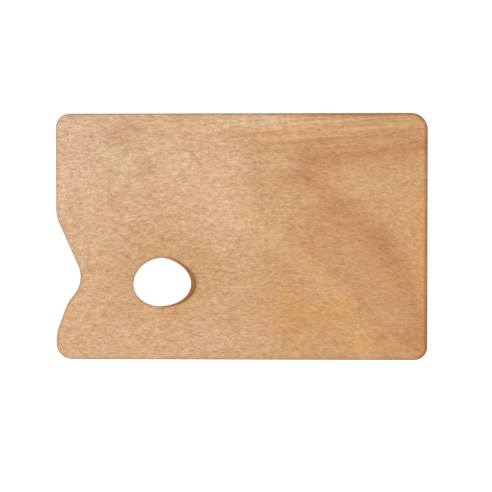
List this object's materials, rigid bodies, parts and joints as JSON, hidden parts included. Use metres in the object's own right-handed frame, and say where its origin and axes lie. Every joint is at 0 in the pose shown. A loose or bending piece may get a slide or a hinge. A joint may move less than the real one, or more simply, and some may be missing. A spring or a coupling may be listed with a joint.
{
  "type": "mixing palette",
  "caption": "Rectangular hand-held wooden mixing palette in thin plywood, with rounded corners, a slanted thumb hole and a finger notch in its left edge.",
  "frame": {"origin": "under the middle of the board, on the flat surface that it lies on", "axes": "+X along the grain of the mixing face, away from the finger notch; +Y across the grain, away from the thumb hole's side; +Z out of the mixing face"},
  "size_m": [0.3, 0.199, 0.005],
  "materials": {
    "face_wood": "oiled satin, grain along X, pinkish tan warming to golden orange at the right",
    "crossband_wood": "sanded and oiled edge, grain along Y",
    "core_wood": "sanded and oiled edge, grain along X",
    "cured_glue": "cured resin glue line"
  },
  "bodies": {
    "root": {"back_veneer": "face_wood", "back_glue_line": "cured_glue", "lower_crossband": "crossband_wood", "lower_core_glue_line": "cured_glue", "core_veneer": "core_wood", "upper_core_glue_line": "cured_glue", "upper_crossband": "crossband_wood", "face_glue_line": "cured_glue", "face_veneer": "face_wood"}
  },
  "joints": []
}
